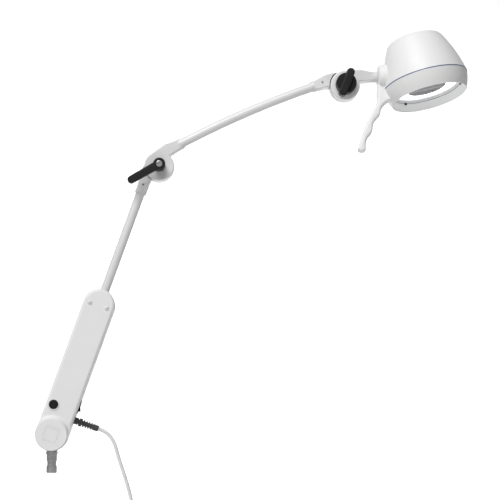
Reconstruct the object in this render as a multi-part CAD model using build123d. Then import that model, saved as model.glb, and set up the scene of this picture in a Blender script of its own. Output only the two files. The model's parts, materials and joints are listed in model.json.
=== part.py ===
from build123d import *
from math import acos, atan2, cos, hypot, pi, radians, sin, tan
import os

# Dental operating light on a two-part spring arm, in millimetres, +Z up.
# The origin is on the mounting pin's axis, at the shoulder that rests on the socket.
# +X points from the pin towards the lamp head, and every arm joint turns about Y.

# ---- driving dimensions ----
PIN_R = 8.0
PIN_GROOVE_R = 6.75
PIN_LENGTH = 28.8
PIN_GROOVE_TOP = 10.8
PIN_GROOVE_WIDTH = 6.7
COLLAR_R = 9.15
COLLAR_H = 3.4
JOURNAL_R = 4.5
JOURNAL_TOP = 22.3
RUN = 0.03  # radial clearance of a running fit

PIVOT_H = 28.4  # tilt axle above the pin's shoulder
LEAN = 19.3  # lower arm from the vertical at rest
HOUSING_R = 24.0
HOUSING_L = 205.5  # between the centres of the housing's two round ends
HOUSING_HALF = 23.0  # half its thickness
HOUSING_SPLIT = 12.0  # front shell ends here, rear cover starts
WALL = 2.5
EDGE_R = 4.5
TILT_BACK, TILT_FORWARD = -20.0, 70.0  # lean at the two stops
HUB_HALF = 9.0
HUB_R = 13.5
AXLE_R = 4.0
SPRING_POST = 17.0  # above the tilt axle
SPRING_R = 7.0
SPRING_WIRE_R = 1.1
SPRING_TOP = 168.0
SPRING_SIDE = 1.9  # the spring's lean towards the tube, in degrees
PLATE_IN, PLATE_OUT = 10.0, 12.5
BOLT_V, BOLT_U = 5.6, 188.5

BUTTON_V, BUTTON_U, BUTTON_R = -12.0, 43.1, 6.85
ROCKER_U = 52.2
ROCKER_PIVOT_V = 23.2
ROCK = 12.0  # rocker either side of level
STRAIN_U = 31.0
STRAIN_L = 38.0
SCREW_V, SCREW_U = 13.5, 204.0

TUBE_R = 7.0
TUBE_WALL = 1.5
ELBOW_V, ELBOW_U = 13.3, 436.9
KNUCKLE_R = 23.0
KNUCKLE_T = 12.5
KNUCKLE_GAP = 0.8  # from the middle plane to each half knuckle
KNUCKLE_CLEAR = 1.4
BOLT_R = 4.0
SLEEVE_REACH = 49.2
ARM_FLAT_X, WEDGE_X = 24.0, 45.0  # where a knuckle's flat arm ends, and the wedge beyond it
UPPER_RISE = 28.6
UPPER_OFFSET = 16.3
ARCH_R = 1480.0
ARCH_TURN = 8.5
LEAD_END = 23.0  # the lamp lead in each tube ends this far from the joint's centre
LEVER_REACH = 48.7
LEVER_FALL = 30.4
LEVER_TOP = 33.0

NECK_OFFSET = 16.0
NECK_END = 51.0
NECK_REACH = 51.3
KNOB_R = 15.6
HEAD_X = 125.4  # head axis from the head joint, along the neck
HEAD_TILT = 13.0
HEAD_SWIVEL = 7.2
HEAD_RISE = 33.2  # neck axis above the rim, along the head axis
RIM_R = 60.0
SEAM_R = 67.2
SEAM_H = 25.2
SEAM_T = 1.3
CROWN_H = 99.5
SKIN = 2.2
LENS_R = 30.0
LENS_H = 15.7
LIGHT_R = 52.0
GRIP_COLLAR_R = 19.6
GRIP_HALF, GRIP_TIP_HALF = 9.0, 6.8  # half thickness at the collar and at the tip

CORD_R = 3.0
COIL_X, COIL_Z = 115.2, -164.4
COIL_IN, COIL_OUT, COIL_HALF = 21.0, 51.0, 6.0
TIE_ANGLE = 50.0  # round the coil, from +X
TAIL_X, TAIL_Y, TAIL_L = COIL_X + COIL_OUT - CORD_R, 3.0, 30.0

Y_DIR = (0, 1, 0)


# ---- placing ----
LOWER = Pos(0, 0, PIVOT_H) * Rot(0, LEAN, 0)  # x across the arm, z along it
ELBOW = LOWER * Pos(ELBOW_V, 0, ELBOW_U)
ELBOW_AT = ELBOW.position
UPPER = Pos(*ELBOW_AT) * Rot(0, -UPPER_RISE, 0)  # x along the tube's start


def arch_end():
    """Where the arched tube ends, in the upper arm's frame."""
    turn = radians(ARCH_TURN)
    return SLEEVE_REACH + ARCH_R * sin(turn), UPPER_OFFSET - ARCH_R * (1 - cos(turn))


def head_joint():
    """The head joint's centre in the object's frame."""
    x, z = arch_end()
    turn = radians(ARCH_TURN)
    x += SLEEVE_REACH * cos(turn) - UPPER_OFFSET * sin(turn)
    z -= SLEEVE_REACH * sin(turn) + UPPER_OFFSET * cos(turn)
    return (UPPER * Pos(x, 0, z)).position


JOINT_AT = head_joint()
HEAD_END = Pos(*JOINT_AT) * Rot(0, 180 - UPPER_RISE + ARCH_TURN, 0)
NECK = Pos(*JOINT_AT)
HEAD = NECK * Pos(HEAD_X, 0, NECK_OFFSET) * Rot(-HEAD_SWIVEL, 0, 0)
OPTICS = HEAD * Rot(0, -HEAD_TILT, 0) * Pos(0, 0, -HEAD_RISE)


# ---- small helpers ----
def rod_y(radius, low, high, x=0.0, z=0.0):
    """A cylinder along Y from low to high."""
    return Pos(x, (low + high) / 2, z) * Rot(90, 0, 0) * Cylinder(radius, high - low)


def rod_x(radius, low, high, y=0.0, z=0.0):
    return Pos((low + high) / 2, y, z) * Rot(0, 90, 0) * Cylinder(radius, high - low)


def rod_z(radius, low, high, x=0.0, y=0.0):
    return Pos(x, y, (low + high) / 2) * Cylinder(radius, high - low)


def block(x0, x1, y0, y1, z0, z1):
    return Pos((x0 + x1) / 2, (y0 + y1) / 2, (z0 + z1) / 2) * Box(x1 - x0, y1 - y0, z1 - z0)


def turned(points):
    """A solid of revolution about Z from an outline of (radius, height) points."""
    return revolve(make_face(Plane.XZ * Polyline(*points, close=True)), Axis.Z)


def capsule(radius, low, high):
    """The housing's outline: a slot along Z, extruded in Y from low to high."""
    outline = Pos(0, HOUSING_L / 2) * Rot(0, 0, 90) * SlotCenterToCenter(HOUSING_L, 2 * radius)
    return extrude(Plane.XZ.offset(-low) * outline, -(high - low))


def hexagon_y(across, low, high):
    shape = RegularPolygon(across / 2, 6, major_radius=False)
    return extrude(Plane.XZ.offset(-low) * shape, -(high - low))


# ---- mounting pin ----
def mount_pin():
    """Spigot with a retaining groove below the shoulder, collar and journal above it."""
    groove_end = PIN_GROOVE_TOP + PIN_GROOVE_WIDTH
    return turned([
        (0, -PIN_LENGTH), (PIN_R - 1.5, -PIN_LENGTH), (PIN_R, 1.5 - PIN_LENGTH),
        (PIN_R, -groove_end), (PIN_GROOVE_R, 0.1 - groove_end),
        (PIN_GROOVE_R, -PIN_GROOVE_TOP - 0.1), (PIN_R, -PIN_GROOVE_TOP),
        (PIN_R, 0), (COLLAR_R, 0), (COLLAR_R, COLLAR_H), (JOURNAL_R, COLLAR_H),
        (JOURNAL_R, 19.9), (4.0, 19.9), (4.0, 20.9), (JOURNAL_R, 20.9),
        (JOURNAL_R, JOURNAL_TOP), (0, JOURNAL_TOP),
    ])


def pin_circlip():
    """Open retaining ring in the journal's groove."""
    ring = rod_z(5.8, 19.95, 20.85) - rod_z(4.0, 19.9, 20.9)
    return ring - block(-1.5, 1.5, 0, 7, 19.8, 21)


# ---- turret inside the housing ----
def pivot_hub():
    """Carries the tilt axle across and turns on the pin's journal."""
    neck = rod_z(COLLAR_R - 0.15, COLLAR_H + 0.8, PIVOT_H - 6)
    barrel = rod_y(HUB_R, -HUB_HALF, HUB_HALF, z=PIVOT_H)
    hub = neck + barrel - rod_z(6.0, 0, 19.5) - rod_z(6.2, 19.5, 50)
    ear = block(-4, 4, 6.4, 8.4, PIVOT_H + 8, PIVOT_H + SPRING_POST)
    ear += rod_y(4, 6.4, 8.4, z=PIVOT_H + SPRING_POST)
    hub += ear + mirror(ear, Plane.XZ)
    hub -= rod_y(AXLE_R + 1.5, -10, 10, z=PIVOT_H)
    return hub - rod_y(2, -10, 10, z=PIVOT_H + SPRING_POST)


def swivel_bush():
    return rod_z(6.0, COLLAR_H + 0.8, 19.5) - rod_z(JOURNAL_R + RUN, 0, 20)


def thrust_washer():
    return rod_z(7.4, COLLAR_H, COLLAR_H + 0.8) - rod_z(JOURNAL_R + 0.1, 0, 10)


def axle_bushes():
    """Flanged bush for the tilt axle at each end of the hub's barrel."""
    sleeve = rod_y(AXLE_R + 1.5, 6.4, HUB_HALF, z=PIVOT_H)
    flange = rod_y(8, HUB_HALF, HUB_HALF + 0.8, z=PIVOT_H)
    bush = sleeve + flange - rod_y(AXLE_R + RUN, 6, 12, z=PIVOT_H)
    return [bush, mirror(bush, Plane.XZ)]


def spring_post():
    return rod_y(2, -8.4, 8.4, z=PIVOT_H + SPRING_POST)


# ---- housing, in the lower arm's frame ----
def neck_slot():
    """Sector cut round the lower end, so that the hub's neck can pass at every tilt."""
    half = 29.0
    low, high = TILT_BACK - half, TILT_FORWARD + half
    steps = 8
    rays = [radians(low + (high - low) * k / steps) for k in range(steps + 1)]
    points = [(0, 0)] + [(40 * sin(a), -40 * cos(a)) for a in rays]
    sector = extrude(Plane.XZ.offset(-10.6) * make_face(Polyline(*points, close=True)), 21.2)
    return sector - rod_y(16, -12, 12)


def rounded_rim(shell, side):
    """Rounds the outer edge on the face at y = side * HOUSING_HALF."""
    rim = shell.edges().filter_by(lambda e: abs(e.center().Y - side * HOUSING_HALF) < 0.01)
    return fillet(rim, EDGE_R)


def housing_front():
    """Front shell: face and side walls, with bosses for the two cover screws."""
    shell = rounded_rim(capsule(HOUSING_R, -HOUSING_HALF, HOUSING_SPLIT), -1)
    shell += rod_y(HOUSING_R, -HOUSING_HALF, -HOUSING_HALF + EDGE_R + 1)
    shell -= capsule(HOUSING_R - WALL, WALL - HOUSING_HALF, HOUSING_SPLIT + 1)
    for v in (-SCREW_V, SCREW_V):
        shell += rod_y(4.5, -HOUSING_HALF + 1, -10.05, v, SCREW_U)
        shell -= rod_y(2.0, -HOUSING_HALF - 1, -9, v, SCREW_U)
    shell -= rod_y(12, -HOUSING_HALF - 1, -HOUSING_HALF + WALL + 1)
    shell -= rod_y(BUTTON_R + 0.25, -HOUSING_HALF - 1, -18, BUTTON_V, BUTTON_U)
    shell -= block(20, 26, -6.05, 6.05, ROCKER_U - 9, ROCKER_U + 9)
    shell -= rod_x(5, 20, 26, z=STRAIN_U)
    shell -= rod_z(TUBE_R + 0.2, 215, 240)
    return shell - neck_slot()


def housing_rear():
    """Rear cover with a locating lip inside the front shell."""
    cover = rounded_rim(capsule(HOUSING_R, HOUSING_SPLIT, HOUSING_HALF), 1)
    cover -= capsule(HOUSING_R - WALL, HOUSING_SPLIT - 1, HOUSING_HALF - WALL)
    for v in (-SCREW_V, SCREW_V):
        cover += rod_y(4.5, 10.05, HOUSING_HALF - 1, v, SCREW_U)
        cover -= rod_y(2.0, 9, HOUSING_HALF + 1, v, SCREW_U)
    return cover


def pivot_cap():
    """Round cap over the axle, blended into the face by a cove, with a blank square outline."""
    cove = 6.0
    base, face = -HOUSING_HALF, -HOUSING_HALF - cove
    arc = ThreePointArc(
        (HOUSING_R, face + 1), (HOUSING_R + 1.9, base - 2.0), (HOUSING_R + cove, base))
    side = Polyline(
        (HOUSING_R + cove, base), (0, base), (0, face), (HOUSING_R - 1, face), (HOUSING_R, face + 1))
    section = make_face(Plane.XY * (Wire([arc] + side.edges())))
    cap = revolve(section, Axis((0, 0, 0), Y_DIR))
    cap &= capsule(HOUSING_R, face - 1, base)
    square = Rectangle(20.8, 20.8) - Rectangle(19.6, 19.6)
    cap -= extrude(Plane.XZ.offset(-face - 0.6) * square, 1)
    return cap + rod_y(11.9, base, base + WALL)


def cover_screws():
    """Two domed screws at the front and two at the rear."""
    dome = Sphere(4.6) & block(-5, 5, -5, -2.6, -5, 5)
    screw = Pos(0, -HOUSING_HALF + 2.6, 0) * dome + rod_y(2.0, -HOUSING_HALF, -2.0)
    screw -= block(-2, 2, -HOUSING_HALF - 3, -HOUSING_HALF - 1.3, -0.4, 0.4)
    screw -= block(-0.4, 0.4, -HOUSING_HALF - 3, -HOUSING_HALF - 1.3, -2, 2)
    front = [Pos(v, 0, SCREW_U) * screw for v in (-SCREW_V, SCREW_V)]
    return front + [mirror(s, Plane.XZ) for s in front]


# ---- chassis inside the housing ----
def chassis_plates():
    """Two side plates from the axle's eye to the tube clamp."""
    outline = Pos(0, 104) * Rectangle(18, 208) + Circle(11) + Pos(0, 208) * Circle(9)
    plate = extrude(Plane.XZ.offset(-PLATE_IN) * outline, PLATE_IN - PLATE_OUT)
    plate -= rod_y(AXLE_R, 0, 20)
    for v in (-BOLT_V, BOLT_V):
        plate -= rod_y(2.0, 0, 20, v, BOLT_U)
    plate -= rod_y(2.0, 0, 20, *spring_end())
    return [plate, mirror(plate, Plane.XZ)]


def tube_clamp():
    """Block that holds the tube's foot between the side plates and takes the cover screws."""
    body = block(-11, 11, -PLATE_IN, PLATE_IN, 180, 219)
    body += block(-18.5, 18.5, -PLATE_IN, PLATE_IN, 197, 211)
    body -= rod_z(TUBE_R, 198, 230)
    body -= rod_z(2.8, 170, 200)
    for v in (-SCREW_V, SCREW_V):
        body -= rod_y(2.0, -12, 12, v, SCREW_U)
    for v in (-BOLT_V, BOLT_V):
        body -= rod_y(2.0, -12, 12, v, BOLT_U)
    return body


def clamp_bolts():
    """Two cross bolts through the side plates and the clamp block, beside the lead."""
    bolts = []
    for v in (-BOLT_V, BOLT_V):
        bolt = rod_y(2.0, -PLATE_OUT, PLATE_OUT, v, BOLT_U)
        bolt += Pos(v, 0, BOLT_U) * hexagon_y(7, -15.5, -PLATE_OUT)
        bolt += Pos(v, 0, BOLT_U) * hexagon_y(7, PLATE_OUT, 15.5)
        bolts.append(bolt)
    return bolts


def tilt_axle():
    return rod_y(AXLE_R, -16.8, 16.8)


def axle_nuts():
    nut = hexagon_y(13, PLATE_OUT, 17.5) - rod_y(AXLE_R, 10, 20)
    return [nut, mirror(nut, Plane.XZ)]


def spring_start():
    """The hub's spring post at rest, in the lower arm's frame."""
    return -SPRING_POST * sin(radians(LEAN)), SPRING_POST * cos(radians(LEAN))


def spring_end():
    """The spring's upper anchor in the lower arm's frame."""
    x0, z0 = spring_start()
    return x0 + (SPRING_TOP - z0) * tan(radians(SPRING_SIDE)), SPRING_TOP


def balance_spring():
    """Close-wound tension spring with a loop at each end."""
    x0, z0 = spring_start()
    lean = Pos(x0, 0, z0) * Rot(0, SPRING_SIDE, 0)
    length = (SPRING_TOP - z0) / cos(radians(SPRING_SIDE))
    coils = 30
    pitch = 2 * SPRING_WIRE_R
    low = (length - coils * pitch) / 2
    outer = SPRING_R - SPRING_WIRE_R
    body = rod_z(SPRING_R - 0.5, low, low + coils * pitch)
    body -= rod_z(outer - 0.6, low - 1, low + coils * pitch + 1)
    ridges = [Pos(0, 0, low + pitch * (k + 0.5)) * Torus(outer, SPRING_WIRE_R) for k in range(coils)]
    body = body.fuse(*ridges)
    for start, end, side in ((3.4, low + 1.5, 1), (low + coils * pitch - 1.5, length - 3.4, -1)):
        body += rod_z(SPRING_WIRE_R, start, end)
        centre = 0 if side > 0 else length
        loop = Rot(90, 0, 0) * Torus(3.4, SPRING_WIRE_R)
        body += Pos(0, 0, centre) * loop
    for level in (low + 1.0, low + coils * pitch - 1.0):
        body += rod_x(SPRING_WIRE_R, -outer, outer, z=level)
    return lean * body


def spring_anchor():
    """Grooved bar across the side plates that holds the spring's upper loop."""
    bar = rod_y(2.0, -PLATE_OUT, PLATE_OUT, *spring_end())
    collars = [rod_y(4, low, low + 3, *spring_end()) for low in (-7, 4)]
    return bar.fuse(*collars)


def driver_board():
    board = block(-17, 17, -15.0, -13.4, 60, 150)
    board += block(-19, -5, -15.0, -13.4, 34, 60.0)
    return board


def driver_components():
    """Parts on the driver board: transformer, chokes, capacitors and the dimmer's switch."""
    face = -15.0
    parts = [block(-12, 10, -20, face, 108, 128)]
    parts += [block(-14, -6, -19.5, face, 84, 96), block(2, 13, -19, face, 66, 76)]
    parts += [rod_y(4, -20, face, x, z) for x, z in ((6, 88), (6, 99), (-9, 138))]
    parts += [block(-4, 12, -18, face, 134, 144)]
    parts += [block(BUTTON_V - 3, BUTTON_V + 3, -15.7, face, BUTTON_U - 3, BUTTON_U + 3)]
    return parts


def dimmer_ring():
    """Raised ring in the housing's face round the dimmer button."""
    ring = rod_y(8.9, -HOUSING_HALF - 1.1, -HOUSING_HALF, BUTTON_V, BUTTON_U)
    ring -= rod_y(BUTTON_R + 0.25, -30, 0, BUTTON_V, BUTTON_U)
    edge = ring.edges().filter_by(lambda e: e.center().Y < -HOUSING_HALF - 1).sort_by(lambda e: e.length)
    return fillet(edge[-1], 0.8)


def dimmer_button():
    button = rod_y(BUTTON_R, -HOUSING_HALF - 2.0, -18.6, BUTTON_V, BUTTON_U)
    rim = button.edges().filter_by(lambda e: e.center().Y < -HOUSING_HALF - 1)
    flange = rod_y(8.2, -20.2, -18.6, BUTTON_V, BUTTON_U)
    return fillet(rim, 1.2) + flange + rod_y(2, -18.6, -16.95, BUTTON_V, BUTTON_U)


def switch_body():
    """Rocker switch housing with its bezel on the side wall and two blade terminals."""
    inside = block(8, HOUSING_R, -6.0, 6.0, ROCKER_U - 8.9, ROCKER_U + 8.9)
    bezel = block(HOUSING_R, 25.0, -7.0, 7.0, ROCKER_U - 10.2, ROCKER_U + 10.2)
    pocket = block(ROCKER_PIVOT_V - 2.6, 30, -4.8, 4.8, ROCKER_U - 7.9, ROCKER_U + 7.9)
    body = inside + bezel - pocket - rod_y(1.05, -5.7, 5.7, ROCKER_PIVOT_V, ROCKER_U)
    for u in (-5, 3):
        body += block(3.5, 8, -3, 3, ROCKER_U + u, ROCKER_U + u + 0.8)
    return body


def switch_rocker():
    """Two-way rocker, resting with its lower end out."""
    outline = Polyline(
        (-1.4, -3), (0.9, -7.2), (3.5, -7.2), (2.4, 0), (3.5, 7.2), (0.9, 7.2), (-1.4, 3), close=True)
    rocker = extrude(Plane.XZ.offset(-4.6) * make_face(outline), 9.2) + rod_y(1.0, -5.6, 5.6)
    return Pos(ROCKER_PIVOT_V, 0, ROCKER_U) * Rot(0, -ROCK, 0) * rocker


# ---- mains cord ----
def strain_relief():
    """Ribbed sleeve standing square out of the side wall."""
    start, end = HOUSING_R, HOUSING_R + STRAIN_L
    core = 3.5
    sleeve = turned([
        (0, start - 6), (4.9, start - 6), (4.9, start), (5.2, start), (5.2, start + 6.0),
        (core, start + 6.0), (core, end - 9), (4.8, end - 9), (4.5, end), (0, end)])
    sleeve += rod_z(6.2, start + 7.2, start + 12.0)
    for k in range(4):
        at = start + 13.6 + 4.0 * k
        sleeve += rod_z(5.7 - 0.15 * k, at, at + 2.3)
    return Pos(0, 0, STRAIN_U) * Rot(0, 90, 0) * sleeve


def cord_exit():
    """Centre of the strain relief's end in the object's frame."""
    return (LOWER * Pos(HOUSING_R + STRAIN_L, 0, STRAIN_U)).position


# The cord's route from just past the strain relief down into the coil.
CORD_ROUTE = [
    (84.1, 0, 29.0), (90.3, 0, 21.2), (95.7, 0, 8.4), (99.9, 0, -8.0), (108.3, 0, -31.0),
    (116.0, 0, -55.5), (121.0, -1.0, -79.0), (124.6, -2.4, -100.5), (130.0, -3.0, -114.0),
    (139.2, -3.0, -122.8)]


def cord_radii(points):
    """One arc radius for each corner of a route, as large as its runs allow."""
    radii = []
    for a, b, c in zip(points, points[1:], points[2:]):
        before, after = Vector(*b) - Vector(*a), Vector(*c) - Vector(*b)
        run = min(before.length, after.length)
        radii.append(0.45 * run / tan(radians(before.get_angle(after)) / 2))
    return radii


def mains_cord():
    first = (LOWER * Pos(HOUSING_R + STRAIN_L + 8.5, 0, STRAIN_U)).position
    points = [tuple(cord_exit()), tuple(first)] + CORD_ROUTE
    radii = cord_radii(points)
    path = FilletPolyline(*points, radius=radii)
    start = Plane(origin=path @ 0, z_dir=path % 0)
    tube = sweep(start * Circle(CORD_R), path=path)
    print("cord arc radii", [round(r, 1) for r in radii])
    print("cord volume", round(tube.volume, 1), "section x length", round(pi * CORD_R**2 * path.length, 1))
    return tube - mains_cord_coil()


def mains_cord_coil():
    """Outer shape of the neat round coil that hangs from the cord."""
    corner = 3.0
    section = RectangleRounded(COIL_OUT - COIL_IN, 2 * COIL_HALF, corner)
    section = Plane.XY * Pos((COIL_IN + COIL_OUT) / 2, 0) * section
    return Pos(COIL_X, 0, COIL_Z) * revolve(section, Axis.Y)


def cord_tie():
    """Strap wrapped round the coil's section, just right of its top."""
    middle = (COIL_IN + COIL_OUT) / 2
    half = (COIL_OUT - COIL_IN) / 2
    strap = Box(2 * half + 3.2, 2 * COIL_HALF + 3.2, 8) - Box(2 * half + 0.4, 2 * COIL_HALF + 0.4, 10)
    return Pos(COIL_X, 0, COIL_Z) * Rot(0, -TIE_ANGLE, 0) * Pos(middle, 0, 0) * strap - mains_cord_coil()


def mains_cord_end():
    """Short straight tail from the coil's side down to the plug."""
    return rod_z(CORD_R, COIL_Z - TAIL_L, COIL_Z - 10, TAIL_X, TAIL_Y) - mains_cord_coil()


def plug_body():
    """Flat two-pin plug, lengthwise down, with a tapered cord entry."""
    top = COIL_Z - TAIL_L
    entry = Pos(TAIL_X, TAIL_Y, top - 5) * Cone(5.6, 4.2, 10)
    body = Pos(TAIL_X, TAIL_Y, top - 23) * Box(13.7, 26, 27)
    body = fillet(body.edges().filter_by(Axis.Z), 5)
    return body + entry


def plug_pins():
    low = COIL_Z - TAIL_L - 36.5
    pins = []
    for side in (-9.5, 9.5):
        pin = rod_z(2.0, low - 18, low, TAIL_X, TAIL_Y + side)
        tip = pin.edges().group_by(Axis.Z)[0]
        pins.append(fillet(tip, 1.2))
    return pins


# ---- knuckles and tubes ----
def knuckle_outline(up, far, near):
    """A disc and a square-ended arm whose far edge runs tangent to it, above or below its centre."""
    angle = atan2(far, ARM_FLAT_X) + acos(KNUCKLE_R / hypot(far, ARM_FLAT_X))
    tangent = (KNUCKLE_R * cos(angle), up * KNUCKLE_R * sin(angle))
    inner = ((KNUCKLE_R**2 - near**2) ** 0.5, up * near)
    end = Polyline(tangent, (ARM_FLAT_X, up * far), (ARM_FLAT_X, up * near), inner)
    rest = ThreePointArc(inner, (0, -up * KNUCKLE_R), tangent)
    return make_face(Wire(end.edges() + [rest]))


def knuckle(side, offset, near_r, end_r, reach=SLEEVE_REACH):
    """Half of a lap joint with a sleeve running out along +X, offset above the joint's centre.

    side is -1 for the front half and 1 for the rear half. near_r and end_r are the sleeve's radii
    at its root and at its end. A flat-faced wedge runs out of the arm and sinks into the sleeve.
    """
    up = 1 if offset > 0 else -1
    far, near = abs(offset) + near_r + 0.4, abs(offset) - near_r - 0.3
    body = extrude(Plane.XZ.offset(-KNUCKLE_T) * knuckle_outline(up, far, near), 2 * KNUCKLE_T)
    rims = body.edges().filter_by(
        lambda e: abs(e.center().Y) > KNUCKLE_T - 0.1 and e.center().X < ARM_FLAT_X - 0.1)
    body = fillet(rims, 2.2)
    root = Plane(origin=(ARM_FLAT_X - 1, 0, up * (far + near) / 2), x_dir=Y_DIR, z_dir=(1, 0, 0))
    point = Plane(origin=(WEDGE_X, 0, offset), x_dir=Y_DIR, z_dir=(1, 0, 0))
    wedge = loft([
        root * Rectangle(2 * KNUCKLE_T - 0.3, far - near - 0.4),
        point * Rectangle(2 * near_r - 3.5, 2 * near_r - 6)])
    body += fillet(wedge.edges().filter_by(lambda e: abs(e.center().X - (ARM_FLAT_X + WEDGE_X) / 2) < 2), 1.8)
    start = 12.0
    body += Pos((start + reach) / 2, 0, offset) * Rot(0, 90, 0) * Cone(near_r, end_r, reach - start)
    other = (-30, KNUCKLE_GAP) if side > 0 else (-KNUCKLE_GAP, 30)
    return body - rod_y(KNUCKLE_R + KNUCKLE_CLEAR, *other)


def set_screw(x, z, radius, depth=3.2):
    """Grub screw from the front, with a hexagon socket."""
    screw = rod_y(1.6, -radius - 0.05, -radius + depth, x, z)
    socket = Pos(x, 0, z) * hexagon_y(1.5, -radius - 1, -radius + 1.2)
    return screw - socket


def elbow_lower_knuckle():
    """Rear half of the elbow with the sleeve that takes the lower tube, arm frame."""
    half = Rot(0, 90, 0) * knuckle(1, -ELBOW_V, 9.6, 8.8)
    half = Pos(ELBOW_V, 0, ELBOW_U) * half
    half -= rod_z(TUBE_R, ELBOW_U - SLEEVE_REACH - 5, ELBOW_U - 24)
    half -= rod_z(2.6, ELBOW_U - 30, ELBOW_U - 18)
    half -= rod_y(BOLT_R + RUN, -20, 20, ELBOW_V, ELBOW_U)
    return half - rod_y(1.6, -12, 0, 0, ELBOW_U - 35)


def lower_set_screw():
    return set_screw(0, ELBOW_U - 35, 9.0, 1.9)


def lower_tube():
    return rod_z(TUBE_R, 198, ELBOW_U - 24) - rod_z(TUBE_R - TUBE_WALL, 190, ELBOW_U)


def lower_arm_cable():
    """Lamp lead inside the lower tube."""
    return rod_z(2.0, 178, ELBOW_U - LEAD_END)


def elbow_upper_knuckle():
    """Front half of the elbow with the sleeve that takes the arched tube."""
    half = knuckle(-1, UPPER_OFFSET, 9.6, 8.7)
    half -= rod_x(TUBE_R, 25, SLEEVE_REACH + 5, z=UPPER_OFFSET)
    half -= rod_x(2.6, 16, 30, z=UPPER_OFFSET)
    return half - rod_y(BOLT_R, -20, 20)


def elbow_friction_disc():
    return rod_y(16, -KNUCKLE_GAP, KNUCKLE_GAP - 0.05) - rod_y(BOLT_R, -2, 2)


def joint_bolt(front_end):
    """Hexagon-socket bolt through a lap joint, its head and washer at the rear."""
    bolt = rod_y(BOLT_R, front_end, KNUCKLE_T + 0.1)
    bolt += rod_y(8.5, KNUCKLE_T + 0.1, KNUCKLE_T + 1.5)
    bolt += rod_y(6.5, KNUCKLE_T + 1.5, KNUCKLE_T + 7.5)
    return bolt - hexagon_y(5, KNUCKLE_T + 4, KNUCKLE_T + 8)


def arched(radius):
    """A round bar along the upper arm's arch, with a straight stretch into each sleeve."""
    grip = SLEEVE_REACH - 25
    start = Plane(origin=(SLEEVE_REACH, 0, UPPER_OFFSET), x_dir=Y_DIR, z_dir=(1, 0, 0))
    centre = (SLEEVE_REACH, 0, UPPER_OFFSET - ARCH_R)
    bar = revolve(start * Circle(radius), Axis(centre, Y_DIR), ARCH_TURN)
    bar += rod_x(radius, SLEEVE_REACH - grip, SLEEVE_REACH, z=UPPER_OFFSET)
    x, z = arch_end()
    return bar + Pos(x, 0, z) * Rot(0, ARCH_TURN, 0) * rod_x(radius, 0, grip)


def upper_tube():
    return arched(TUBE_R) - arched_bore()


def arched_bore():
    bore = arched(TUBE_R - TUBE_WALL)
    x, z = arch_end()
    grip = SLEEVE_REACH - 25
    far = Pos(x, 0, z) * Rot(0, ARCH_TURN, 0) * rod_x(TUBE_R - TUBE_WALL, grip - 1, grip + 2)
    return bore + far + rod_x(TUBE_R - TUBE_WALL, 20, SLEEVE_REACH - grip + 1, z=UPPER_OFFSET)


def upper_arm_cable():
    """Lamp lead inside the arched tube."""
    x, z = arch_end()
    ends = rod_x(2.0, LEAD_END, SLEEVE_REACH, z=UPPER_OFFSET)
    far = Pos(x, 0, z) * Rot(0, ARCH_TURN, 0) * rod_x(2.0, 0, SLEEVE_REACH - LEAD_END)
    return arched(2.0) + ends + far


def head_end_knuckle():
    """Rear half of the head joint; its sleeve points back along the arched tube."""
    half = knuckle(1, -UPPER_OFFSET, 9.9, 8.4)
    half -= rod_x(TUBE_R, 25, SLEEVE_REACH + 5, z=-UPPER_OFFSET)
    half -= rod_x(2.6, 16, 30, z=-UPPER_OFFSET)
    half -= rod_y(BOLT_R + RUN, -20, 20)
    return half - rod_y(1.6, -13, 0, 31.6, -UPPER_OFFSET)


def head_end_set_screw():
    return set_screw(31.6, -UPPER_OFFSET, 9.4, 2.3)


# ---- clamping lever and knob ----
def clamp_lever():
    """Round hub with a long flat arm, its end fuller than its root."""
    hub = rod_y(9.2, -LEVER_TOP, -KNUCKLE_T - 0.6)
    angle = radians(LEVER_FALL)
    ex, ez = -LEVER_REACH * cos(angle), -LEVER_REACH * sin(angle)
    nx, nz = -sin(angle), cos(angle)
    outline = make_face(Polyline(
        (6.2 * nx, 6.2 * nz), (ex + 5.8 * nx, ez + 5.8 * nz),
        (ex - 5.8 * nx, ez - 5.8 * nz), (-6.2 * nx, -6.2 * nz), close=True))
    outline += Pos(ex, ez) * Circle(5.8)
    arm = extrude(Plane.XZ.offset(24.5) * outline, LEVER_TOP - 24.5)
    lever = hub + arm
    front = lever.faces().sort_by(Axis.Y)[0]
    lever = fillet(front.edges(), 1.6)
    lever -= rod_y(BOLT_R + RUN, -28.6, 0)
    return lever - rod_y(5.4, -LEVER_TOP - 1, -29.6)


def lever_screw():
    """Cross-head screw sunk in the lever's hub."""
    screw = rod_y(5.0, -LEVER_TOP - 0.3, -29.7)
    front = screw.faces().sort_by(Axis.Y)[0]
    screw = fillet(front.edges(), 1.0)
    for wide, tall in ((6.2, 1.5), (1.5, 6.2)):
        screw -= Pos(0, -LEVER_TOP - 0.3, 0) * Box(wide, 3.0, tall)
    return screw


def head_knob():
    """Round knob with a raised wing bar across it."""
    back, face, top = -KNUCKLE_T - 2.8, -29.5, -37.0
    disc = rod_y(KNOB_R, face, back)
    bar = extrude(Plane.XZ.offset(24.5) * Rot(0, 0, 69) * SlotCenterToCenter(33.6, 12.4), -top - 24.5)
    knob = disc + bar
    crown = knob.faces().sort_by(Axis.Y)[0]
    knob = fillet(crown.edges(), 2.0)
    return knob - rod_y(BOLT_R + RUN, -27, 0)


# ---- neck ----
def neck_knuckle():
    """Front half of the head joint with a raised step and the tapering neck."""
    half = knuckle(-1, NECK_OFFSET, 9.4, 8.3, NECK_REACH)
    half += rod_y(18.2, -KNUCKLE_T - 2.2, -KNUCKLE_T + 1)
    half -= rod_x(6.0, 30, NECK_END, z=NECK_OFFSET)
    half -= rod_x(5.0, NECK_END - 1, NECK_REACH + 1, z=NECK_OFFSET)
    half -= rod_x(2.6, 16, 40, z=NECK_OFFSET)
    return half - rod_y(BOLT_R, -20, 20)


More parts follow.
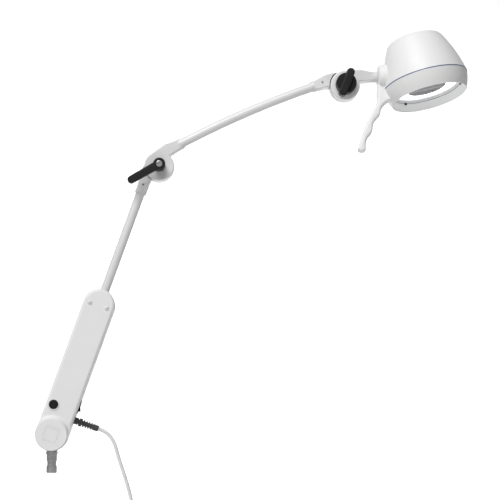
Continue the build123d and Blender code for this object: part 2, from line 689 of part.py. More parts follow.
def head_friction_disc():
    return rod_y(16, -KNUCKLE_GAP, KNUCKLE_GAP - 0.05) - rod_y(BOLT_R, -2, 2)


def neck_spindle():
    """Hollow spindle from the neck into the head's collar, with its retaining shoulder."""
    spindle = rod_x(6.0, 32, NECK_END, z=NECK_OFFSET)
    spindle += rod_x(5.0, NECK_END, 75.5, z=NECK_OFFSET)
    return spindle - rod_x(2.2, 30, 80, z=NECK_OFFSET)


def spindle_nut():
    """Retaining nut on the spindle, inside the shade."""
    nut = Pos(71.5, 0, NECK_OFFSET) * Rot(0, 90, 0) * extrude(RegularPolygon(6.5, 6, major_radius=False), 4)
    return nut - rod_x(5.0, 60, 90, z=NECK_OFFSET)


# ---- lamp head ----
def crown_curve(inset):
    """The shade's outline from its foot to the axis, moved inwards by inset."""
    foot = (SEAM_R - 0.1 - inset, SEAM_H + SEAM_T)
    shoulder = (45.2 - 0.95 * inset, 91.0 - 0.4 * inset)
    edge = (36.5 - 0.3 * inset, 97.4 - 0.95 * inset)
    side = ThreePointArc(foot, (59.5 - inset, 56.5 - 0.2 * inset), shoulder)
    corner = ThreePointArc(shoulder, (42.0 - 0.6 * inset, 95.2 - 0.8 * inset), edge)
    top = TangentArc((0, CROWN_H - inset), edge, tangent=(1, 0))
    return [side, corner, top]


def shade_solid():
    """The shade's outer form as a full solid, in the optics' frame."""
    foot = Polyline((0, CROWN_H), (0, SEAM_H + SEAM_T), (SEAM_R - 0.1, SEAM_H + SEAM_T))
    return revolve(make_face(Plane.XZ * Wire(crown_curve(0) + foot.edges())), Axis.Z)


def skirt_wall():
    return ThreePointArc((RIM_R, 1.2), (64.5, 13.2), (SEAM_R, SEAM_H))


def skirt_solid():
    """The skirt's outer form as a full solid, in the optics' frame."""
    rest = Polyline((SEAM_R, SEAM_H), (0, SEAM_H), (0, 0), (59.3, 0), (RIM_R, 1.2))
    return revolve(make_face(Plane.XZ * Wire([skirt_wall()] + rest.edges())), Axis.Z)


def spindle_hole():
    return HEAD * rod_x(9.0, -80, -40)


def shade():
    """Bell-shaped shade, open below, with a hole for the handle's spigot."""
    low = SEAM_H + SEAM_T
    foot = Line((SEAM_R - 0.1, low), (SEAM_R - 0.1 - SKIN, low))
    centre = Line((0, CROWN_H), (0, CROWN_H - SKIN))
    outline = Wire(crown_curve(0) + [centre] + crown_curve(SKIN) + [foot])
    return OPTICS * revolve(make_face(Plane.XZ * outline), Axis.Z) - spindle_hole()


def seam_ring():
    """Thin coloured ring between shade and skirt."""
    ring = turned([
        (SEAM_R - 4, SEAM_H), (SEAM_R + 0.2, SEAM_H), (SEAM_R + 0.2, SEAM_H + SEAM_T),
        (SEAM_R - 4, SEAM_H + SEAM_T)])
    return OPTICS * ring - spindle_hole()


def skirt_ring():
    """Lower ring of the head: outer wall, rounded rim and the flared wall inside it."""
    inner = Polyline(
        (SEAM_R, SEAM_H), (SEAM_R - SKIN, SEAM_H), (62.0, 13.5), (58.4, 3.0), (55.6, 11.5),
        (54.2, 11.5), (54.2, 9.6), (58.2, 0.3))
    rim = ThreePointArc((58.2, 0.3), (59.3, 0.0), (RIM_R, 1.2))
    ring = revolve(make_face(Plane.XZ * Wire([skirt_wall()] + inner.edges() + [rim])), Axis.Z)
    return OPTICS * ring - spindle_hole()


def trim_ring():
    """Stepped ring inside the mouth that holds the diffuser."""
    ring = turned([
        (54.2, 10.6), (54.2, 20.2), (46.0, 20.2), (46.0, 18.4), (LIGHT_R, 18.4),
        (LIGHT_R, 13.6), (53.2, 13.6), (53.2, 10.6)])
    return OPTICS * ring


def light_ring():
    """Translucent annular diffuser round the lens."""
    ring = rod_z(LIGHT_R, 16.2, 18.4) - rod_z(LENS_R, 10, 20)
    return OPTICS * ring


def centre_lens():
    """Round patterned lens in the middle of the mouth."""
    return OPTICS * rod_z(LENS_R, LENS_H, 18.4)


def led_board():
    return OPTICS * rod_z(48.5, 20.2, 21.8)


def led_chips():
    """Ring of emitters behind the diffuser and a cluster behind the lens."""
    chips = []
    for count, radius in ((18, 38.0), (6, 14.0)):
        for k in range(count):
            angle = 360 * k / count
            chips.append(OPTICS * Rot(0, 0, angle) * Pos(radius, 0, 19.6) * Box(3.5, 3.5, 1.2))
    return chips


def heat_sink():
    """Finned aluminium plate on the back of the emitter board."""
    sink = rod_z(42, 21.8, 26.0)
    for k in range(-4, 5):
        y = 8.0 * k
        reach = (36.0**2 - y * y) ** 0.5
        sink += block(-reach, reach, y - 0.9, y + 0.9, 25.5, 50)
    return OPTICS * sink


def grip_outline():
    """The grip's outline from the front, head frame: a smooth back and three finger hollows."""
    top = Polyline((-57.6, -41), (-45, -38), (-45, 0), (-72, 0), (-72, -10.5), (-74.6, -13.5), (-75.5, -40.5))
    bend = ThreePointArc((-75.5, -40.5), (-77.0, -45.7), (-79.8, -51))
    back = ThreePointArc((-79.8, -51), (-94.9, -82), (-107.4, -118))
    tip = ThreePointArc((-107.4, -118), (-101.6, -123.5), (-94.8, -119.2))
    fingers = Spline(
        (-94.8, -119.2), (-94.6, -109.0), (-91.8, -100.6), (-86.6, -94.2), (-83.9, -88.6),
        (-83.4, -82), (-81.2, -75.3), (-75.4, -67.6), (-71.3, -62.2), (-70.5, -57), (-66.9, -49),
        (-57.6, -41))
    return make_face(Wire(top.edges() + [bend, back, tip, fingers]))


def grip():
    """Slab in the grip's outline, thinner towards its tip, with rounded long edges."""
    slab = extrude(Plane.XZ.offset(GRIP_HALF) * grip_outline(), -2 * GRIP_HALF)
    side = Polyline(
        (GRIP_HALF, 5), (GRIP_TIP_HALF, -125), (-GRIP_TIP_HALF, -125), (-GRIP_HALF, 5), close=True)
    slab &= extrude(Plane.YZ.offset(-120) * make_face(side), 100)
    long_edges = slab.edges().filter_by(
        lambda e: abs(e.center().Y) > 4 and e.center().Z < -15 and e.center().X < -50)
    return fillet(long_edges, 4.0)


def handle():
    """Collar on the neck's spindle with the hand grip hanging from it, one moulding."""
    collar = rod_x(GRIP_COLLAR_R, -73.7, -54.0)
    left = collar.faces().sort_by(Axis.X)[0]
    collar = fillet(left.edges(), 6.5)
    body = HEAD * (collar + grip())
    body -= OPTICS * shade_solid()
    body -= OPTICS * skirt_solid()
    body -= OPTICS * rod_z(SEAM_R + 0.2, SEAM_H, SEAM_H + SEAM_T)
    spigot = rod_x(9.0, -69, -54.1)
    return body + HEAD * spigot - HEAD * rod_x(5.0 + RUN, -80, -40)


# ---- writing ----
def placed(location, shape):
    return [location * s for s in shape] if isinstance(shape, list) else location * shape


def write(name, shape):
    solids = shape if isinstance(shape, list) else [shape]
    flat = [s for item in solids for s in item.solids()]
    export_step(flat[0] if len(flat) == 1 else Compound(children=flat), f"parts/{name}.step")


def main():
    os.makedirs("parts", exist_ok=True)
    still = [mount_pin, pin_circlip, pivot_hub, swivel_bush, thrust_washer, spring_post, axle_bushes]
    cord = [mains_cord, mains_cord_coil, cord_tie, mains_cord_end, plug_body, plug_pins]
    head = [shade, seam_ring, skirt_ring, trim_ring, light_ring, centre_lens, led_board, led_chips,
            heat_sink, handle]
    for make in still + cord + head:
        write(make.__name__, make())
    lower = [housing_front, housing_rear, pivot_cap, cover_screws, chassis_plates, tube_clamp,
             clamp_bolts, tilt_axle, axle_nuts, balance_spring, spring_anchor, driver_board,
             driver_components, dimmer_ring, dimmer_button, switch_body, switch_rocker,
             strain_relief, elbow_lower_knuckle, lower_set_screw, lower_tube, lower_arm_cable]
    for make in lower:
        write(make.__name__, placed(LOWER, make()))
    for make in (elbow_upper_knuckle, upper_tube, upper_arm_cable):
        write(make.__name__, placed(UPPER, make()))
    for make in (head_end_knuckle, head_end_set_screw):
        write(make.__name__, placed(HEAD_END, make()))
    for make in (neck_knuckle, head_friction_disc, neck_spindle, spindle_nut, head_knob):
        write(make.__name__, placed(NECK, make()))
    at_elbow = Pos(*ELBOW_AT)
    for make in (elbow_friction_disc, clamp_lever, lever_screw):
        write(make.__name__, placed(at_elbow, make()))
    write("elbow_bolt", at_elbow * joint_bolt(-28.5))
    write("head_joint_bolt", NECK * joint_bolt(-26.9))
    for name, at in (("pivot", (0, 0, PIVOT_H)), ("elbow", ELBOW_AT), ("head joint", JOINT_AT)):
        print(name, [round(v, 2) for v in at])
    print("neck axis z", round(JOINT_AT.Z + NECK_OFFSET, 2), "cord exit", cord_exit())


main()
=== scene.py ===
import json
from math import cos, pi, radians, sin

import bmesh
import bpy
from mathutils import Euler, Matrix, Vector


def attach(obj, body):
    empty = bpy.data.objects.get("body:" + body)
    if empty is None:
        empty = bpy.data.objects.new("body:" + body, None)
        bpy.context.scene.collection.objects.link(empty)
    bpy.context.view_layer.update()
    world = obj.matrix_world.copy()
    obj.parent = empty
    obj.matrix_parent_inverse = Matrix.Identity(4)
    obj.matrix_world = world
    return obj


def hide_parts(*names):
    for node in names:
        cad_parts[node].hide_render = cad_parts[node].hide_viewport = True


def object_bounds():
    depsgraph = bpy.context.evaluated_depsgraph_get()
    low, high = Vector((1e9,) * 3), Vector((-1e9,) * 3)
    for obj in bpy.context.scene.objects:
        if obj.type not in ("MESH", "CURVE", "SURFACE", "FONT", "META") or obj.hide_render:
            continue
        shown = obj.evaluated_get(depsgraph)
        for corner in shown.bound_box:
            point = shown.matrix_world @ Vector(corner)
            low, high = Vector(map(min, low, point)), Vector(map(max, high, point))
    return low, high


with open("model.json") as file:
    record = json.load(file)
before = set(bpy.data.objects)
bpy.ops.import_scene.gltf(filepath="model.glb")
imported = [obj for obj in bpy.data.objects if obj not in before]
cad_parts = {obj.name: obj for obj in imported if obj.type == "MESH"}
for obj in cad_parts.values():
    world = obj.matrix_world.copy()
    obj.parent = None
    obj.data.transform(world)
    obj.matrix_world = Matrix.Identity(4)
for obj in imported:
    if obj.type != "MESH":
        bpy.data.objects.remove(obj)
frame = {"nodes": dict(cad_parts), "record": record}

CAD_BOX = [list(corner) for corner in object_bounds()]
NODES = frame["nodes"]

# ---- driving sizes, in metres and degrees ----
LEAN = 19.3  # lower arm from the vertical
PIVOT_H = 0.0284
HOUSING_R = 0.024
STRAIN_U = 0.031  # strain relief: place along the lower arm, and length
STRAIN_L = 0.038
RELIEF_TIP = 0.0085  # straight run of the lead beyond its strain relief
CORD_D = 0.006
COIL_X, COIL_Z = 0.1152, -0.1644
COIL_IN_R, COIL_OUT_R = 0.024, 0.048  # centre line of the innermost and outermost turns
JOIN_ANGLE = 60.0  # where the lead runs into the coil
HEAD_JOINT = (0.4440, 0.0, 0.56626)
HEAD_X, NECK_OFFSET, HEAD_RISE = 0.1254, 0.016, 0.0332
HEAD_TILT, HEAD_SWIVEL = 13.0, 7.2
TRIM_R = 0.0532  # inner wall of the mouth's trim ring
# Heights of the thin grey ring painted as a shadow line and of the black domes painted as the shade of
# two holes; then the ring's half height and how far it stands in.
SHADOW_LINE_H, HOLE_SHADE_H = 0.0123, 0.0117  # above the rim, along the head's axis
SHADOW_LINE_HALF, SHADOW_LINE_PROUD = 0.0004, 0.0001
# where round the mouth the two black domes of painted hole shade sit, and how much wider than high they
# are
HOLE_SHADE_AZIMUTHS = (122.0, -2.0)
HOLE_SHADE_STRETCH = 1.4
GLOW_R, DARK_R = 0.0455, 0.0480  # where the diffuser's glow starts and ends its fall
TRIM_STEP, LENS_BAR = 0.0026, 0.019  # spacing of the trim's rings and of the lens's bars
SHARP_ANGLE = 35
CAMERA_AT = (0.15814, -2.300, 0.02641)
CAMERA_TURN = (96.996, 0, -3.448)
FOCAL_LENGTH = 109.14  # millimetres, on a sensor 36 wide


def rotation(angle, axis):
    """Turn by an angle in degrees about a named axis."""
    return Matrix.Rotation(radians(angle), 4, axis)


LOWER = Matrix.Translation((0, 0, PIVOT_H)) @ rotation(LEAN, "Y")
NECK = Matrix.Translation(HEAD_JOINT)
HEAD = NECK @ Matrix.Translation((HEAD_X, 0, NECK_OFFSET)) @ rotation(-HEAD_SWIVEL, "X")
OPTICS = HEAD @ rotation(-HEAD_TILT, "Y") @ Matrix.Translation((0, 0, -HEAD_RISE))


# ---- camera ----
def make_camera():
    """Long-lens view from the front, aimed slightly upwards and to the right."""
    data = bpy.data.cameras.new("camera")
    data.sensor_width = 36
    data.lens = FOCAL_LENGTH
    data.clip_end = 20
    camera = bpy.data.objects.new("camera", data)
    camera.location = CAMERA_AT
    camera.rotation_euler = Euler([radians(turn) for turn in CAMERA_TURN])
    bpy.context.collection.objects.link(camera)
    bpy.context.scene.camera = camera


make_camera()


# ---- materials ----
class Nodes:
    """Short helper round a material's node tree."""

    def __init__(self, name):
        self.material = bpy.data.materials.new(name)
        self.material.use_nodes = True
        self.tree = self.material.node_tree
        self.shader = self.tree.nodes["Principled BSDF"]
        self.coords = self.tree.nodes.new("ShaderNodeTexCoord").outputs["Object"]

    def link(self, a, b):
        self.tree.links.new(a, b)

    def put(self, **values):
        """Sets the shader's plain inputs by name, with _ for each space."""
        for key, value in values.items():
            self.shader.inputs[key.replace("_", " ")].default_value = value

    def noise(self, size, detail=3.0, stretch=(1, 1, 1)):
        """Noise with features of about size metres, optionally stretched."""
        mapping = self.tree.nodes.new("ShaderNodeMapping")
        mapping.inputs["Scale"].default_value = [1 / s for s in stretch]
        self.link(self.coords, mapping.inputs["Vector"])
        texture = self.tree.nodes.new("ShaderNodeTexNoise")
        texture.inputs["Scale"].default_value = 1 / size
        texture.inputs["Detail"].default_value = detail
        self.link(mapping.outputs["Vector"], texture.inputs["Vector"])
        return texture.outputs["Fac"]

    def ramp(self, value, *stops):
        """Colour ramp through (position, grey or colour) stops."""
        node = self.tree.nodes.new("ShaderNodeValToRGB")
        elements = node.color_ramp.elements
        while len(elements) < len(stops):
            elements.new(0.5)
        for element, (position, tone) in zip(elements, stops):
            element.position = position
            element.color = (tone, tone, tone, 1) if isinstance(tone, float) else (*tone, 1)
        self.link(value, node.inputs["Fac"])
        return node.outputs["Color"]

    def mix(self, factor, a, b):
        """Colour blend. Each of the three is a socket or a plain value."""
        node = self.tree.nodes.new("ShaderNodeMix")
        node.data_type = "RGBA"
        for source, socket in ((factor, node.inputs["Factor"]), (a, node.inputs[6]), (b, node.inputs[7])):
            if hasattr(source, "links"):
                self.link(source, socket)
            else:
                socket.default_value = source if isinstance(source, float) else (*source, 1)
        return node.outputs[2]

    def bump(self, height, distance, strength):
        """Relief from a height field, distance metres deep at full strength."""
        node = self.tree.nodes.new("ShaderNodeBump")
        node.inputs["Distance"].default_value = distance
        node.inputs["Strength"].default_value = strength
        self.link(height, node.inputs["Height"])
        self.link(node.outputs["Normal"], self.shader.inputs["Normal"])

    def edges(self, low, high):
        """About 0 on flat surfaces and 1 on convex edges, from the mesh's pointiness."""
        geometry = self.tree.nodes.new("ShaderNodeNewGeometry")
        return self.ramp(geometry.outputs["Pointiness"], (low, 0.0), (high, 1.0))


def mottled(kit, base, spread, size):
    """Base colour that drifts a little, as moulded or coated surfaces do."""
    light = [min(1.0, c * (1 + spread)) for c in base]
    dark = [c * (1 - spread) for c in base]
    patches = kit.ramp(kit.noise(size, 2.0), (0.35, 0.0), (0.65, 1.0))
    return kit.mix(patches, tuple(dark), tuple(light))


def coated_metal(name, base, roughness):
    """Powder-coated metal: fine orange peel, slight dulling on worn edges."""
    kit = Nodes(name)
    colour = mottled(kit, base, 0.015, 0.06)
    worn = kit.mix(kit.edges(0.53, 0.62), (0.0, 0.0, 0.0), (0.35, 0.35, 0.35))
    kit.link(kit.mix(worn, colour, tuple(c * 0.93 for c in base)), kit.shader.inputs["Base Color"])
    kit.link(kit.ramp(kit.noise(0.012), (0.3, roughness - 0.05), (0.7, roughness + 0.06)),
             kit.shader.inputs["Roughness"])
    kit.bump(kit.noise(0.0011, 2.0), 0.00006, 0.5)
    kit.put(Coat_Weight=0.15, Coat_Roughness=0.25)
    return kit.material


def moulded(name, base, roughness, depth=0.00004, coat=0.0, spread=0.012):
    """Moulded plastic with a spark-eroded grain and faint flow variation."""
    kit = Nodes(name)
    kit.link(mottled(kit, base, spread, 0.05), kit.shader.inputs["Base Color"])
    kit.link(kit.ramp(kit.noise(0.009), (0.3, roughness - 0.04), (0.7, roughness + 0.06)),
             kit.shader.inputs["Roughness"])
    kit.bump(kit.noise(0.0006), depth, 0.6)
    kit.put(Coat_Weight=coat, Coat_Roughness=0.15, IOR=1.5)
    return kit.material


def black_moulded():
    """Black plastic of the levers, knob and buttons: dull, with a slightly coarser grain."""
    material = moulded("black_plastic", (0.006, 0.006, 0.0065), 0.46, depth=0.00006, spread=0.15)
    material.node_tree.nodes["Principled BSDF"].inputs["Specular IOR Level"].default_value = 0.35
    return material


def turned_metal(name, base, roughness, axis=2):
    """Lathe-turned metal: fine rings across the axis, and patchy tarnish."""
    kit = Nodes(name)
    stretch = [30, 30, 30]
    stretch[axis] = 1
    rings = kit.noise(0.001, 4.0, stretch=stretch)
    tarnish = kit.ramp(kit.noise(0.004, 4.0), (0.35, 0.0), (0.7, 1.0))
    dark = tuple(c * 0.72 for c in base)
    kit.link(kit.mix(tarnish, base, dark), kit.shader.inputs["Base Color"])
    kit.link(kit.ramp(rings, (0.3, roughness - 0.08), (0.7, roughness + 0.1)),
             kit.shader.inputs["Roughness"])
    kit.bump(rings, 0.00006, 0.5)
    kit.put(Metallic=1.0)
    return kit.material


def flexible(name, base, roughness):
    """PVC or rubber: soft sheen, fine skin texture and pale dusty patches."""
    kit = Nodes(name)
    dust = kit.ramp(kit.noise(0.006, 4.0), (0.45, 0.0), (0.75, 0.35))
    pale = tuple(min(1.0, c * 1.25 + 0.01) for c in base)
    kit.link(kit.mix(dust, base, pale), kit.shader.inputs["Base Color"])
    kit.link(kit.ramp(kit.noise(0.003), (0.3, roughness - 0.06), (0.7, roughness + 0.06)),
             kit.shader.inputs["Roughness"])
    kit.bump(kit.noise(0.0005, 2.0), 0.00004, 0.6)
    kit.put(Sheen_Weight=0.1, Sheen_Roughness=0.5)
    return kit.material


def solder_mask():
    """Green board with fine copper tracks showing through the mask."""
    kit = Nodes("circuit_board")
    tracks = kit.tree.nodes.new("ShaderNodeTexBrick")
    tracks.inputs["Scale"].default_value = 180
    tracks.inputs["Mortar Size"].default_value = 0.06
    kit.link(kit.coords, tracks.inputs["Vector"])
    kit.link(kit.mix(tracks.outputs["Fac"], (0.02, 0.16, 0.07), (0.05, 0.30, 0.13)),
             kit.shader.inputs["Base Color"])
    kit.bump(tracks.outputs["Fac"], 0.00004, 0.5)
    kit.put(Roughness=0.35)
    return kit.material


def lit_diffuser():
    """Opal ring lit from behind, unevenly tinted, whose glow stops short of its outer edge."""
    kit = Nodes("lit_diffuser")
    spots = kit.ramp(kit.noise(0.012, 1.0), (0.3, (0.93, 0.95, 1.0)), (0.7, (1.0, 1.0, 1.0)))
    kit.link(spots, kit.shader.inputs["Base Color"])
    kit.link(spots, kit.shader.inputs["Emission Color"])
    kit.link(kit.ramp(optics_radius(kit), (GLOW_R, 1.7), (DARK_R, 0.02)),
             kit.shader.inputs["Emission Strength"])
    kit.bump(kit.noise(0.0012, 2.0), 0.00008, 0.5)
    kit.put(Roughness=0.35)
    return kit.material


def optics_radius(kit):
    """Distance from the optics' axis, in metres."""
    mapping = kit.tree.nodes.new("ShaderNodeMapping")
    inverse = OPTICS.inverted()
    mapping.inputs["Location"].default_value = inverse.to_translation()
    mapping.inputs["Rotation"].default_value = inverse.to_euler()
    flat = kit.tree.nodes.new("ShaderNodeVectorMath")
    flat.operation = "MULTIPLY"
    flat.inputs[1].default_value = (1, 1, 0)
    length = kit.tree.nodes.new("ShaderNodeVectorMath")
    length.operation = "LENGTH"
    kit.link(kit.coords, mapping.inputs["Vector"])
    kit.link(mapping.outputs["Vector"], flat.inputs[0])
    kit.link(flat.outputs["Vector"], length.inputs[0])
    return length.outputs["Value"]


def optics_wave(kit, direction, period):
    """Bands across one axis of the optics' frame, a given number of metres apart."""
    mapping = kit.tree.nodes.new("ShaderNodeMapping")
    mapping.inputs["Rotation"].default_value = OPTICS.to_3x3().inverted().to_euler()
    kit.link(kit.coords, mapping.inputs["Vector"])
    wave = kit.tree.nodes.new("ShaderNodeTexWave")
    wave.bands_direction = direction
    wave.inputs["Scale"].default_value = 2 * pi / (20 * period)
    kit.link(mapping.outputs["Vector"], wave.inputs["Vector"])
    return wave.outputs["Fac"]


def ringed_trim():
    """White ring with shallow steps turned round it, their lines darkened in the base colour as painted
    shade of the steps.
    """
    kit = Nodes("ringed_trim")
    steps = optics_wave(kit, "Z", TRIM_STEP)
    # darker bands at each step: painted shade; the bump below gives the steps' real relief
    kit.link(kit.ramp(steps, (0.0, 0.58), (0.30, 0.80)), kit.shader.inputs["Base Color"])
    kit.bump(steps, 0.0004, 0.8)
    kit.put(Roughness=0.38)
    return kit.material


def patterned_lens():
    """Dark grey lens moulded with fine cells, in broad lighter and darker bars."""
    kit = Nodes("patterned_lens")
    cells = kit.tree.nodes.new("ShaderNodeTexVoronoi")
    cells.inputs["Scale"].default_value = 420
    cells.inputs["Randomness"].default_value = 0.15
    kit.link(kit.coords, cells.inputs["Vector"])
    pale, dark = (0.20, 0.20, 0.21), (0.05, 0.05, 0.055)
    tone = kit.ramp(cells.outputs["Distance"], (0.1, pale), (0.75, dark))
    bars = kit.ramp(optics_wave(kit, "Y", LENS_BAR), (0.45, 0.0), (0.75, 0.6))
    kit.link(kit.mix(bars, tone, (0.34, 0.34, 0.35)), kit.shader.inputs["Base Color"])
    kit.bump(cells.outputs["Distance"], 0.0004, 0.7)
    kit.put(Roughness=0.24, Coat_Weight=0.2, Coat_Roughness=0.12)
    return kit.material


MATERIALS = {
    "pin_steel": turned_metal("pin_steel", (0.70, 0.70, 0.70), 0.38),
    "bright_steel": turned_metal("bright_steel", (0.62, 0.62, 0.63), 0.30, axis=1),
    "spring_steel": turned_metal("spring_steel", (0.30, 0.31, 0.33), 0.40),
    "brass_parts": turned_metal("brass_parts", (0.74, 0.57, 0.28), 0.28),
    "bearing_bronze": turned_metal("bearing_bronze", (0.55, 0.36, 0.18), 0.42),
    "white_metal": coated_metal("white_metal", (0.73, 0.73, 0.735), 0.36),
    "white_plastic": moulded("white_plastic", (0.80, 0.80, 0.80), 0.50),
    "white_trim": moulded("white_trim", (0.80, 0.80, 0.81), 0.36, coat=0.2),
    "skirt_plastic": moulded("skirt_plastic", (0.785, 0.783, 0.78), 0.42),
    "blue_ring": moulded("blue_ring", (0.035, 0.075, 0.23), 0.30, coat=0.3),
    "black_plastic": black_moulded(),
    "black_rubber": flexible("black_rubber", (0.045, 0.045, 0.046), 0.60),
    "aluminium_parts": turned_metal("aluminium_parts", (0.72, 0.72, 0.73), 0.36),
    "friction_fibre": flexible("friction_fibre", (0.16, 0.11, 0.07), 0.8),
    "circuit_board": solder_mask(),
    "components": moulded("components", (0.03, 0.03, 0.035), 0.5, spread=0.3),
    "emitters": moulded("emitters", (0.85, 0.75, 0.30), 0.4, coat=0.5),
    "diffuser": lit_diffuser(),
    "lens": patterned_lens(),
    "cord_pvc": flexible("cord_pvc", (0.72, 0.73, 0.74), 0.45),
    "plug_plastic": moulded("plug_plastic", (0.68, 0.69, 0.70), 0.45),
}


def dress_nodes():
    """Gives every carried-over CAD node the material of its slot."""
    for part in frame["record"]["subparts"]:
        mesh = NODES[part["node"]].data
        mesh.materials.clear()
        mesh.materials.append(MATERIALS[part["material_slot"]])


dress_nodes()
NODES["trim_ring"].data.materials[0] = ringed_trim()


# ---- small pieces that the frame leaves to this script ----
def lathe(name, outline, place, segments):
    """A closed outline of (radius, height) points turned round the Z axis of a place."""
    mesh = bmesh.new()
    rows = []
    for k in range(segments):
        angle = 2 * pi * k / segments
        rows.append([mesh.verts.new(place @ Vector((r * cos(angle), r * sin(angle), h)))
                     for r, h in outline])
    for row, following in zip(rows, rows[1:] + rows[:1]):
        for j in range(len(outline)):
            i = j - 1
            mesh.faces.new((row[i], following[i], following[j], row[j]))
    bmesh.ops.remove_doubles(mesh, verts=mesh.verts, dist=1e-7)
    bmesh.ops.recalc_face_normals(mesh, faces=mesh.faces)
    return as_object(name, mesh)


def as_object(name, mesh):
    """Puts a finished bmesh into the scene, smooth except at its sharp edges."""
    data = bpy.data.meshes.new(name)
    mesh.to_mesh(data)
    mesh.free()
    for face in data.polygons:
        face.use_smooth = True
    data.set_sharp_from_angle(angle=radians(SHARP_ANGLE))
    piece = bpy.data.objects.new(name, data)
    bpy.context.collection.objects.link(piece)
    return piece


def fit_piece(piece, body, slot):
    """Gives a piece its slot's material and the body that it moves with."""
    piece.data.materials.append(MATERIALS[slot])
    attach(piece, body)


def shadow_line_outline(steps=5):
    """Outline of the thin grey ring painted as a shadow line: it stands in from the trim's wall with a
    rounded inner edge.
    """
    outline = [(TRIM_R, SHADOW_LINE_H + SHADOW_LINE_HALF)]
    for k in range(steps + 1):
        angle = radians(90 + 180 * k / steps)
        inner = TRIM_R - SHADOW_LINE_PROUD + 0.5 * SHADOW_LINE_HALF * cos(angle)
        outline.append((inner, SHADOW_LINE_H + SHADOW_LINE_HALF * sin(angle)))
    outline.append((TRIM_R, SHADOW_LINE_H - SHADOW_LINE_HALF))
    return outline


def make_mouth_shadow_line():
    """Thin grey ring on the trim ring's lower wall: painted shadow of the line where the trim meets the
    flared wall.
    """
    shadow_line_ring = lathe("mouth_shadow_line", shadow_line_outline(), OPTICS, 160)
    fit_piece(shadow_line_ring, "head", "black_rubber")
    # its dark grey colour stands in for the shadow line below the trim: painted shadow
    shadow_line_ring.data.materials[0] = flexible("shadow_line_grey", (0.16, 0.16, 0.16), 0.60)


def make_hole_shades():
    """Two small black domes, wider than high, on the trim ring's wall: painted shade of two small holes
    there.
    """
    dome = [(0.0, 0.0013), (0.0012, 0.0012), (0.0019, 0.0006), (0.0021, -0.0002), (0.0, -0.0002)]
    on_wall = Matrix.Translation((TRIM_R, 0, HOLE_SHADE_H)) @ rotation(-90, "Y")
    widened = Matrix.Diagonal((1, HOLE_SHADE_STRETCH, 1, 1))
    for number, azimuth in enumerate(HOLE_SHADE_AZIMUTHS, 1):
        place = OPTICS @ rotation(azimuth, "Z") @ on_wall @ widened
        hole_shade_dome = lathe(f"mouth_hole_shade_{number}", dome, place, 24)
        # black plastic here is painted shade of a hole in the trim's wall
        fit_piece(hole_shade_dome, "head", "black_plastic")


make_mouth_shadow_line()
make_hole_shades()


# ---- mains lead ----
def lower_point(v, y, u):
    """A point of the lower arm: v across it, u along it from the pivot."""
    return LOWER @ Vector((v, y, u))


EXIT = lower_point(HOUSING_R + STRAIN_L, 0, STRAIN_U)
LEAD_ROUTE = [
    EXIT, lower_point(HOUSING_R + STRAIN_L + RELIEF_TIP, 0, STRAIN_U),
    (0.0841, 0, 0.0290), (0.0903, 0, 0.0212), (0.0957, 0, 0.0084), (0.0999, 0, -0.0080),
    (0.1083, 0, -0.0310), (0.1160, 0, -0.0555), (0.1210, -0.0010, -0.0790),
    (0.1246, -0.0024, -0.1005), (0.1300, -0.0030, -0.1140)]


def coil_points():
    """In along the front layer, across, out along the rear layer, then the hanging tail."""
    per_turn = 18
    turns_in, turns_across, turns_out = 4.0, 0.5, 4.0
    turns_held = 0.5  # at the outer radius, before the tail
    total = turns_in + turns_across + turns_out + turns_held + JOIN_ANGLE / 360
    points = []
    for k in range(round(total * per_turn) + 1):
        turn = k / per_turn
        inward = min(turn / turns_in, 1)
        outward = min(max((turn - turns_in - turns_across) / turns_out, 0), 1)
        radius = COIL_OUT_R + (COIL_IN_R - COIL_OUT_R) * (inward - outward)
        across = min(max((turn - turns_in) / turns_across, 0), 1)
        angle = radians(JOIN_ANGLE - 360 * turn)
        layer = CORD_D * (across - 0.5)
        points.append((COIL_X + radius * cos(angle), layer, COIL_Z + radius * sin(angle)))
    return points


def tail_points():
    """Straight down from the coil's side to the plug."""
    x = COIL_X + COIL_OUT_R
    return [(x, CORD_D / 2, COIL_Z - drop) for drop in (0.012, 0.022, 0.0305)]


def spline_length(curve):
    """Length of a curve's evaluated centre line."""
    mesh = bpy.data.meshes.new_from_object(curve)
    line = [v.co.copy() for v in mesh.vertices]
    bpy.data.meshes.remove(mesh)
    return sum((b - a).length for a, b in zip(line, line[1:]))


def make_lead():
    """The whole mains lead as one spline with a round section."""
    points = LEAD_ROUTE + coil_points() + tail_points()
    data = bpy.data.curves.new("mains_lead", "CURVE")
    data.dimensions = "3D"
    data.resolution_u = 6
    spline = data.splines.new("NURBS")
    spline.points.add(len(points) - 1)
    for point, co in zip(spline.points, points):
        point.co = (*co, 1)
    spline.order_u = 3
    spline.use_endpoint_u = True
    lead = bpy.data.objects.new("mains_lead", data)
    bpy.context.collection.objects.link(lead)
    length = spline_length(lead)
    data.bevel_depth = CORD_D / 2
    data.bevel_resolution = 5
    data.use_fill_caps = True
    data.materials.append(MATERIALS["cord_pvc"])
    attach(lead, "lower_arm")
    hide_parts("mains_cord", "mains_cord_coil", "mains_cord_end")


make_lead()


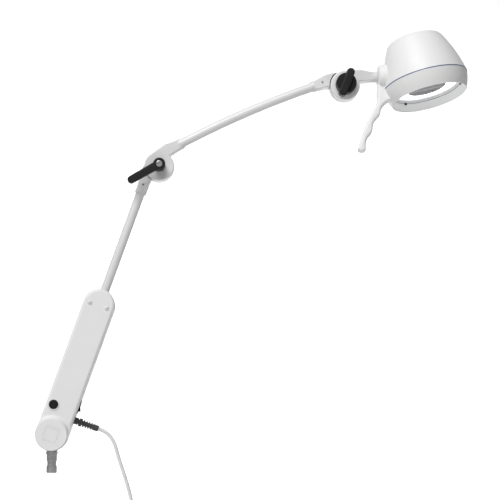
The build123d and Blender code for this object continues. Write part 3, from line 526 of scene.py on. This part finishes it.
# ---- light and ground ----
def paper_white(tone):
    """Matt backdrop paper that varies very slightly."""
    kit = Nodes("ground_white")
    kit.link(mottled(kit, (tone, tone, tone), 0.004, 0.8), kit.shader.inputs["Base Color"])
    kit.put(Roughness=0.9)
    return kit.material


def make_ground():
    """Pale floor that runs up into a backdrop in one curve."""
    low = CAD_BOX[0][2] - 0.30
    near, far, rise, bend = -4.0, 4.4, 5.0, 0.9
    outline = [(near, low), (far - bend, low)]
    for k in range(1, 13):
        angle = radians(90 * k / 12)
        outline.append((far - bend + bend * sin(angle), low + bend * (1 - cos(angle))))
    outline.append((far, rise))
    mesh = bmesh.new()
    rows = [[mesh.verts.new((x, y, z)) for x in (-5.0, 5.5)] for y, z in outline]
    for a, b in zip(rows, rows[1:]):
        mesh.faces.new((a[0], a[1], b[1], b[0]))
    data = bpy.data.meshes.new("ground")
    mesh.to_mesh(data)
    data.materials.append(paper_white(0.92))
    for face in data.polygons:
        face.use_smooth = True
    ground = bpy.data.objects.new("ground", data)
    bpy.context.collection.objects.link(ground)


def lamp(kind, name, place, aim, power):
    """A light of the given kind at a place, pointed at another. Returns its data."""
    data = bpy.data.lights.new(name, kind)
    data.energy = power
    light = bpy.data.objects.new(name, data)
    light.location = place
    direction = Vector(aim) - Vector(place)
    light.rotation_euler = direction.to_track_quat("-Z", "Y").to_euler()
    light.visible_camera = False
    bpy.context.collection.objects.link(light)
    return data


def make_light():
    """Broad key from the upper left, a softbox in front, a backdrop lamp and a dim white sky."""
    key = lamp("SUN", "key", (-1.5, -1.8, 2.8), (0, 0, 0), 1.62)
    key.angle = radians(24)
    softbox = lamp("AREA", "softbox", (-0.2, -1.7, 1.8), (0.5, 0, 0.55), 22)
    softbox.size = 1.1
    backdrop = lamp("AREA", "backdrop", (0.3, 2.4, 0.7), (0.3, 4.4, 0.6), 60)
    backdrop.size = 2.4
    world = bpy.data.worlds.new("studio")
    world.use_nodes = True
    sky = world.node_tree.nodes["Background"].inputs
    sky["Color"].default_value = (1, 1, 1, 1)
    sky["Strength"].default_value = 0.16
    bpy.context.scene.world = world
    bpy.context.scene.view_settings.view_transform = "Standard"


make_ground()
make_light()
